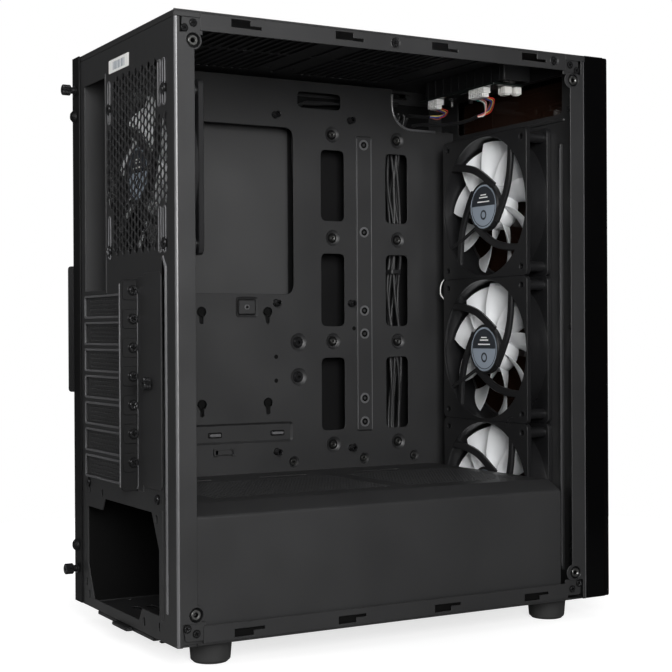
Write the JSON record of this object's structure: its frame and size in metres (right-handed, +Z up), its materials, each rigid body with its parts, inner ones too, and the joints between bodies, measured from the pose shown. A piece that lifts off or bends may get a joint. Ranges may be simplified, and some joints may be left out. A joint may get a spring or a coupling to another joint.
{
  "type": "desktop computer tower",
  "caption": "Mid-tower computer case, side glass off, with dark glass front, intake and exhaust fans, motherboard tray, slotted rear face and power supply shroud.",
  "frame": {"origin": "middle of the footprint's bounding box, on the floor under the feet", "axes": "+Z up, front glass towards -Y, rear connectors towards +Y, open left side towards -X"},
  "size_m": [0.2036, 0.3842, 0.4459],
  "materials": {
    "black_steel": "black textured powder coat",
    "black_plastic": "matt moulded",
    "foot_rubber": "matt",
    "black_screws": "black zinc",
    "plated_steel": "zinc plated",
    "fan_blades": "translucent white",
    "bearing_bronze": "sintered",
    "label_film": "printed film",
    "circuit_board": "solder mask",
    "white_connectors": "moulded nylon",
    "cable_jacket": "satin",
    "gloss_black": "high gloss",
    "tinted_glass": "polished, dark tint",
    "filter_mesh": "fine mesh"
  },
  "bodies": {
    "chassis": {"rear_panel": "black_steel", "top_panel": "black_steel", "bottom_panel": "black_steel", "front_bulkhead": "black_steel", "motherboard_tray": "black_steel", "psu_shroud": "black_steel", "drive_cage": "black_steel", "drive_tray_upper": "black_plastic", "drive_tray_lower": "black_plastic", "slot_cover_1": "black_steel", "slot_cover_2": "black_steel", "slot_cover_3": "black_steel", "slot_cover_4": "black_steel", "slot_cover_5": "black_steel", "slot_cover_6": "black_steel", "slot_cover_7": "black_steel", "slot_cover_screws": "black_screws", "slot_retainer_plate": "black_steel", "glass_panel_standoffs": "plated_steel", "corner_screws": "black_screws", "assembly_screws": "black_screws", "motherboard_standoffs": "plated_steel", "tray_screws": "black_screws", "foot_rear_left": "black_plastic", "foot_rear_right": "black_plastic", "foot_front_left": "black_plastic", "foot_front_right": "black_plastic", "foot_pads": "foot_rubber", "fan_frame_lower": "black_plastic", "fan_frame_middle": "black_plastic", "fan_frame_upper": "black_plastic", "fan_frame_rear": "black_plastic", "fan_bearings": "bearing_bronze", "fan_labels": "label_film", "front_fan_screws": "black_screws", "rear_fan_screws": "black_screws", "io_housing": "black_plastic", "io_board": "circuit_board", "usb_ports": "plated_steel", "audio_jacks": "black_plastic", "board_connectors": "white_connectors", "cable_tray_front": "cable_jacket", "cable_tray_rear": "cable_jacket", "cable_tray_low": "cable_jacket", "cable_io_leads": "cable_jacket", "cable_ties": "cable_jacket"},
    "fan_spin_lower": {"fan_rotor_lower": "fan_blades"},
    "fan_spin_middle": {"fan_rotor_middle": "fan_blades"},
    "fan_spin_upper": {"fan_rotor_upper": "fan_blades"},
    "fan_spin_rear": {"fan_rotor_rear": "fan_blades"},
    "power_key": {"power_button": "black_plastic"},
    "led_key": {"led_button": "black_plastic"},
    "front_panel": {"front_panel_frame": "gloss_black", "front_glass": "tinted_glass"},
    "right_panel": {"right_side_panel": "black_steel"},
    "upper_thumbscrew": {"side_thumbscrew_upper": "black_plastic"},
    "lower_thumbscrew": {"side_thumbscrew_lower": "black_plastic"},
    "retainer_thumbscrew": {"slot_thumbscrew": "black_plastic"},
    "top_filter": {"top_dust_filter": "filter_mesh"},
    "psu_filter": {"psu_dust_filter": "filter_mesh"}
  },
  "joints": [
    {"name": "fan_lower_spin", "type": "hinge", "parent": "chassis", "child": "fan_spin_lower", "pos_m": [0, -0.1562, 0.0924], "axis": [0, 1, 0], "continuous": true},
    {"name": "fan_middle_spin", "type": "hinge", "parent": "chassis", "child": "fan_spin_middle", "pos_m": [0, -0.1562, 0.2124], "axis": [0, 1, 0], "continuous": true},
    {"name": "fan_upper_spin", "type": "hinge", "parent": "chassis", "child": "fan_spin_upper", "pos_m": [0, -0.1562, 0.3324], "axis": [0, 1, 0], "continuous": true},
    {"name": "fan_rear_spin", "type": "hinge", "parent": "chassis", "child": "fan_spin_rear", "pos_m": [-0.03055, 0.1656, 0.3409], "axis": [0, 1, 0], "continuous": true},
    {"name": "power_press", "type": "slide", "parent": "chassis", "child": "power_key", "axis": [0, 0, -1], "range_m": [0, 0.0015], "stiffness_N_per_m": 400, "springref_m": -0.0008},
    {"name": "led_press", "type": "slide", "parent": "chassis", "child": "led_key", "axis": [0, 0, -1], "range_m": [0, 0.0015], "stiffness_N_per_m": 300, "springref_m": -0.0008},
    {"name": "front_panel_pull", "type": "slide", "parent": "chassis", "child": "front_panel", "axis": [0, -1, 0], "range_m": [0, 0.04]},
    {"name": "right_panel_slide", "type": "slide", "parent": "chassis", "child": "right_panel", "axis": [0, 1, 0], "range_m": [0, 0.012]},
    {"name": "upper_thumbscrew_turn", "type": "hinge", "parent": "right_panel", "child": "upper_thumbscrew", "pos_m": [0.09325, 0.1851, 0.4181], "axis": [0, 1, 0], "continuous": true},
    {"name": "lower_thumbscrew_turn", "type": "hinge", "parent": "right_panel", "child": "lower_thumbscrew", "pos_m": [0.09325, 0.1851, 0.043], "axis": [0, 1, 0], "continuous": true},
    {"name": "retainer_thumbscrew_turn", "type": "hinge", "parent": "chassis", "child": "retainer_thumbscrew", "pos_m": [-0.05825, 0.1841, 0.1925], "axis": [0, 1, 0], "continuous": true},
    {"name": "top_filter_lift", "type": "slide", "parent": "chassis", "child": "top_filter", "axis": [0, 0, 1], "range_m": [0, 0.04]},
    {"name": "psu_filter_slide", "type": "slide", "parent": "chassis", "child": "psu_filter", "axis": [0, 1, 0], "range_m": [0, 0.15]}
  ]
}
